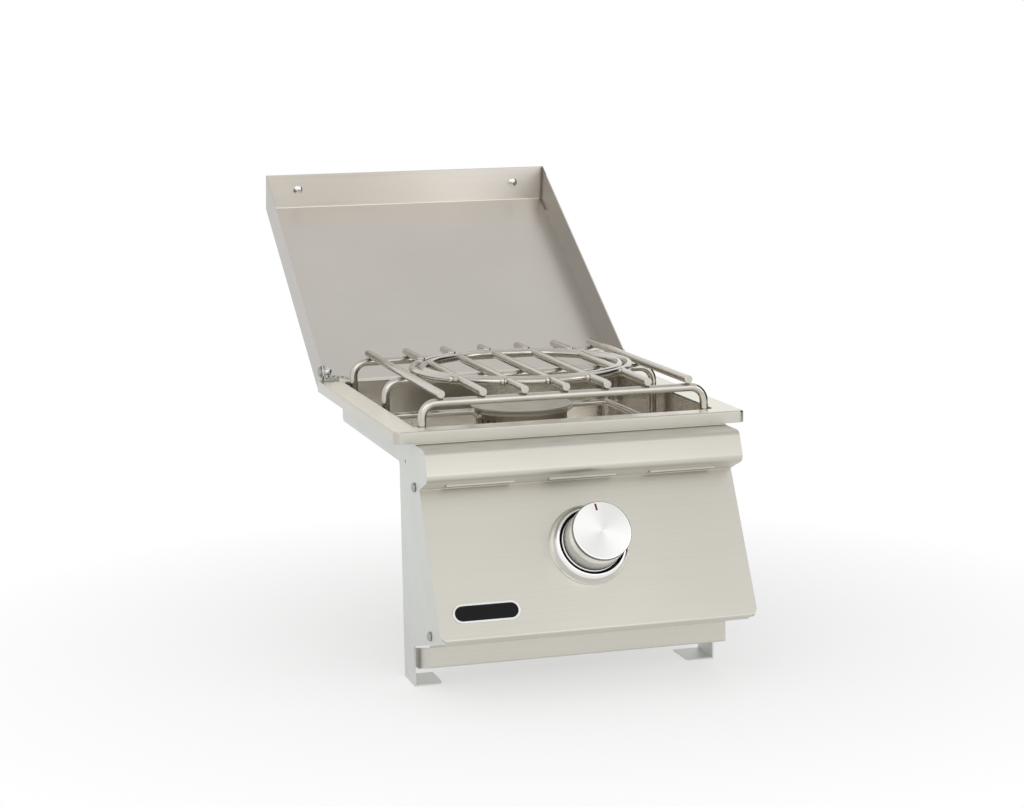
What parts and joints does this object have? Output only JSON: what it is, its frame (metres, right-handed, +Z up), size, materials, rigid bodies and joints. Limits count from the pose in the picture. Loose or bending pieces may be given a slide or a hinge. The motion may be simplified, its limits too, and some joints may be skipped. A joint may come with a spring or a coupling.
{
  "type": "built-in side burner",
  "caption": "Gas side burner that drops into an outdoor kitchen counter, with a rod grate, a tray lid and a sloped front panel with a push and turn knob.",
  "frame": {"origin": "middle of the rim on the countertop plane, which is the underside of the rim's lip", "axes": "+X to the right as seen by the cook, +Y from the control panel towards the lid's hinge, +Z up"},
  "size_m": [0.3436, 0.779, 0.4505],
  "materials": {
    "brushed_steel": "stainless sheet brushed along the width",
    "plate_steel": "flat stainless sheet with a dull mill finish",
    "pan_steel": "deep drawn stainless sheet, darker and softly glossy",
    "rod_steel": "bright stainless rod with welds",
    "chrome": "polished chrome plate",
    "zinc_steel": "plated steel",
    "brass": "machined brass",
    "cast_aluminium": "cast, slightly rough",
    "black_enamel": "gloss black enamel, bare",
    "white_ceramic": "glazed white ceramic",
    "red_paint": "dark red inlay"
  },
  "bodies": {
    "housing": {"rim_frame": "brushed_steel", "burner_pan": "pan_steel", "side_plate_left": "plate_steel", "side_plate_right": "plate_steel", "control_panel": "brushed_steel", "lower_valance": "brushed_steel", "side_screw_upper_left": "zinc_steel", "side_screw_upper_right": "zinc_steel", "side_screw_lower_left": "zinc_steel", "side_screw_lower_right": "zinc_steel", "hinge_bracket_left": "zinc_steel", "hinge_bracket_right": "zinc_steel", "pivot_bolt_left": "zinc_steel", "pivot_bolt_right": "zinc_steel", "pivot_nut_left": "chrome", "pivot_nut_right": "chrome", "chain_anchor": "chrome", "match_chain": "zinc_steel", "match_holder": "zinc_steel", "knob_bezel": "chrome", "badge_frame": "chrome", "badge_plate": "black_enamel", "valve_body": "cast_aluminium", "valve_rear_cap": "cast_aluminium", "valve_screw_left": "zinc_steel", "valve_screw_right": "zinc_steel", "gas_orifice": "brass", "air_shutter": "zinc_steel", "mixing_tube": "zinc_steel", "gas_supply_pipe": "brass", "gas_inlet_fitting": "brass", "burner_head": "cast_aluminium", "burner_brace_left": "rod_steel", "burner_brace_right": "rod_steel", "burner_rail": "rod_steel", "igniter_bracket": "zinc_steel", "igniter_insulator": "white_ceramic", "igniter_electrode": "zinc_steel"},
    "lid": {"lid_panel": "brushed_steel", "lid_handle": "brushed_steel", "handle_bolt_left": "chrome", "handle_bolt_right": "chrome"},
    "grate": {"grate_ring_and_bars": "rod_steel", "grate_side_bar_left": "rod_steel", "grate_side_bar_right": "rod_steel", "grate_support_front": "rod_steel", "grate_support_middle": "rod_steel", "grate_support_rear": "rod_steel"},
    "burner_lid": {"burner_cap": "rod_steel"},
    "plug": {"valve_plug": "brass"},
    "knob_set": {"knob": "chrome", "knob_indicator": "red_paint", "valve_stem": "brass"}
  },
  "joints": [
    {"name": "lid_hinge", "type": "hinge", "parent": "housing", "child": "lid", "pos_m": [0, 0.173, 0.021], "axis": [1, 0, 0], "range_deg": [0, 148]},
    {"name": "grate_lift", "type": "slide", "parent": "housing", "child": "grate", "axis": [0, 0, -1], "range_m": [-0.08, 0]},
    {"name": "burner_cap_lift", "type": "slide", "parent": "housing", "child": "burner_lid", "axis": [0, 0, -1], "range_m": [-0.02, 0]},
    {"name": "knob_turn", "type": "hinge", "parent": "housing", "child": "plug", "pos_m": [0, -0.22177, -0.09791], "axis": [0, -0.8796, 0.4756], "range_deg": [0, 210]},
    {"name": "knob_push", "type": "slide", "parent": "plug", "child": "knob_set", "axis": [0, 0.8796, -0.4756], "range_m": [0, 0.003], "stiffness_N_per_m": 1500, "springref_m": -0.003}
  ]
}
